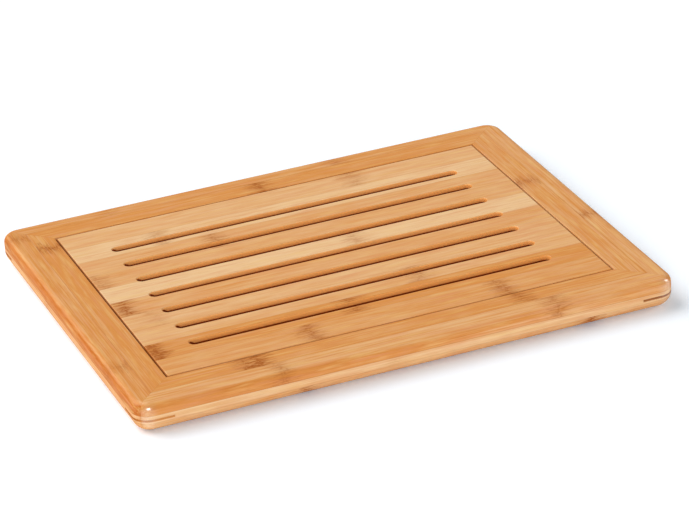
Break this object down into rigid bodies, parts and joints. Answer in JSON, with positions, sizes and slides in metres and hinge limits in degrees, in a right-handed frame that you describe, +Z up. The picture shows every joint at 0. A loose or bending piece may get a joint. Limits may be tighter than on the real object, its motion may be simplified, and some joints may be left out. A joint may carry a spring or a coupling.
{
  "type": "bread board",
  "caption": "Flat bamboo bread board: a mitred, round-edged frame of glued-up rails around a loose slotted grid that lifts out of a shallow crumb tray.",
  "frame": {"origin": "on the surface that the board stands on, under the middle of the board", "axes": "+X along the board's length, parallel to the slots; +Y to the back; +Z up"},
  "size_m": [0.38, 0.297, 0.022],
  "materials": {
    "rail_top_outer_strip": "satin lacquered bamboo, light peach tan",
    "rail_top_inner_strip": "satin lacquered bamboo, peach tan",
    "rail_core_ply": "satin lacquered bamboo, pale yellow",
    "rail_bottom_ply": "satin lacquered bamboo, tan",
    "corner_key": "satin lacquered bamboo, dark brown",
    "floor_stave": "satin lacquered bamboo, light tan",
    "grid_stave_pale": "satin lacquered bamboo, pale",
    "grid_stave_honey": "satin lacquered bamboo, honey",
    "grid_stave_tan": "satin lacquered bamboo, tan with dark knuckles"
  },
  "bodies": {
    "tray": {"front_rail_bottom_ply": "rail_bottom_ply", "front_rail_core_ply": "rail_core_ply", "front_rail_top_outer_strip": "rail_top_outer_strip", "front_rail_top_inner_strip": "rail_top_inner_strip", "right_rail_bottom_ply": "rail_bottom_ply", "right_rail_core_ply": "rail_core_ply", "right_rail_top_outer_strip": "rail_top_outer_strip", "right_rail_top_inner_strip": "rail_top_inner_strip", "back_rail_bottom_ply": "rail_bottom_ply", "back_rail_core_ply": "rail_core_ply", "back_rail_top_outer_strip": "rail_top_outer_strip", "back_rail_top_inner_strip": "rail_top_inner_strip", "left_rail_bottom_ply": "rail_bottom_ply", "left_rail_core_ply": "rail_core_ply", "left_rail_top_outer_strip": "rail_top_outer_strip", "left_rail_top_inner_strip": "rail_top_inner_strip", "front_right_corner_key": "corner_key", "back_right_corner_key": "corner_key", "back_left_corner_key": "corner_key", "front_left_corner_key": "corner_key", "floor_stave_1": "floor_stave", "floor_stave_2": "floor_stave", "floor_stave_3": "floor_stave", "floor_stave_4": "floor_stave", "floor_stave_5": "floor_stave", "floor_stave_6": "floor_stave", "floor_stave_7": "floor_stave", "floor_stave_8": "floor_stave", "floor_stave_9": "floor_stave", "floor_stave_10": "floor_stave"},
    "grid": {"grid_stave_1": "grid_stave_honey", "grid_stave_2": "grid_stave_tan", "grid_stave_3": "grid_stave_honey", "grid_stave_4": "grid_stave_pale", "grid_stave_5": "grid_stave_tan", "grid_stave_6": "grid_stave_pale", "grid_stave_7": "grid_stave_tan", "grid_stave_8": "grid_stave_honey", "grid_stave_9": "grid_stave_pale", "grid_stave_10": "grid_stave_pale"}
  },
  "joints": [
    {"name": "grid_lift", "type": "slide", "parent": "tray", "child": "grid", "axis": [0, 0, 1], "range_m": [0, 0.06]}
  ]
}
